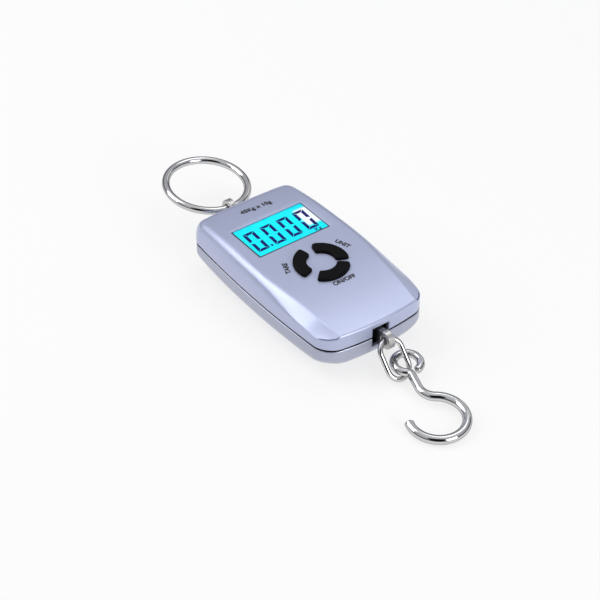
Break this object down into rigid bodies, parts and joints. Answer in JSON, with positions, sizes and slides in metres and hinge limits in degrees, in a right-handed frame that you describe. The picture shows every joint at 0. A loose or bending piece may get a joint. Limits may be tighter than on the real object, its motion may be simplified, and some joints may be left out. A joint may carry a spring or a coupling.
{
  "type": "digital luggage scale",
  "caption": "Hand-held hanging scale with a crowned plastic housing, lit display, ring of rubber keys, steel hanging ring, chain link and open hook, lying on its back.",
  "frame": {"origin": "middle of the flat back, on the surface the scale lies on", "axes": "+Z out of the display, +Y along the housing towards the hanging ring, +X to the right of someone reading the display"},
  "size_m": [0.05, 0.1781, 0.0244],
  "materials": {
    "front_shell": "satin silver-lilac paint",
    "rear_shell": "satin silver-lilac paint",
    "clear_window": "gloss, clear",
    "lcd": "lit cyan with dark digits",
    "light_guide": "frosted",
    "frame_plastic": "moulded",
    "zebra_rubber": "striped elastomer",
    "board": "solder mask",
    "chip": "moulded epoxy",
    "key_rubber": "satin black",
    "beam_alloy": "milled",
    "gauge_foil": "amber film",
    "hanger_steel": "satin",
    "bright_wire": "polished",
    "cell_sleeve": "printed sleeve",
    "contact_plate": "nickel plated",
    "screw_steel": "zinc plated"
  },
  "bodies": {
    "body": {"front_housing": "front_shell", "rear_housing": "rear_shell", "display_window": "clear_window", "lcd_panel": "lcd", "backlight_panel": "light_guide", "lcd_frame": "frame_plastic", "zebra_strip": "zebra_rubber", "circuit_board": "board", "controller_chip": "chip", "keypad_mat": "key_rubber", "load_cell": "beam_alloy", "strain_gauges": "gauge_foil", "gauge_lead": "gauge_foil", "top_hanger": "hanger_steel", "bottom_hanger": "hanger_steel", "hanger_pins": "hanger_steel", "battery_cells": "cell_sleeve", "terminal_contacts": "contact_plate", "bridge_contact": "contact_plate", "housing_screws": "screw_steel", "board_screws": "screw_steel", "beam_screws": "screw_steel"},
    "ring": {"hanging_ring": "bright_wire"},
    "link": {"chain_link": "bright_wire"},
    "hook_body": {"hook": "bright_wire"},
    "key_tare": {"button_tare": "key_rubber"},
    "key_unit": {"button_unit": "key_rubber"},
    "key_on_off": {"button_on_off": "key_rubber"},
    "door": {"battery_door": "rear_shell"}
  },
  "joints": [
    {"name": "ring_swing", "type": "hinge", "parent": "body", "child": "ring", "pos_m": [0, 0.04995, 0.0127], "axis": [1, 0, 0], "range_deg": [-105, 105]},
    {"name": "link_swing", "type": "hinge", "parent": "body", "child": "link", "pos_m": [0, -0.048, 0.0127], "axis": [-1, 0, 0], "range_deg": [-30, 100]},
    {"name": "hook_swing", "type": "hinge", "parent": "link", "child": "hook_body", "pos_m": [0.00401, -0.05513, 0.00445], "axis": [-0.0199, -0.0651, 0.9977], "range_deg": [-25, 100]},
    {"name": "tare_press", "type": "slide", "parent": "body", "child": "key_tare", "axis": [0, 0.0201, -0.9998], "range_m": [0, 0.0007], "stiffness_N_per_m": 300},
    {"name": "unit_press", "type": "slide", "parent": "body", "child": "key_unit", "axis": [0, 0.0201, -0.9998], "range_m": [0, 0.0007], "stiffness_N_per_m": 300},
    {"name": "on_off_press", "type": "slide", "parent": "body", "child": "key_on_off", "axis": [0, 0.0201, -0.9998], "range_m": [0, 0.0007], "stiffness_N_per_m": 300},
    {"name": "door_slide", "type": "slide", "parent": "body", "child": "door", "axis": [0, 0, -1], "range_m": [0, 0.012]}
  ]
}
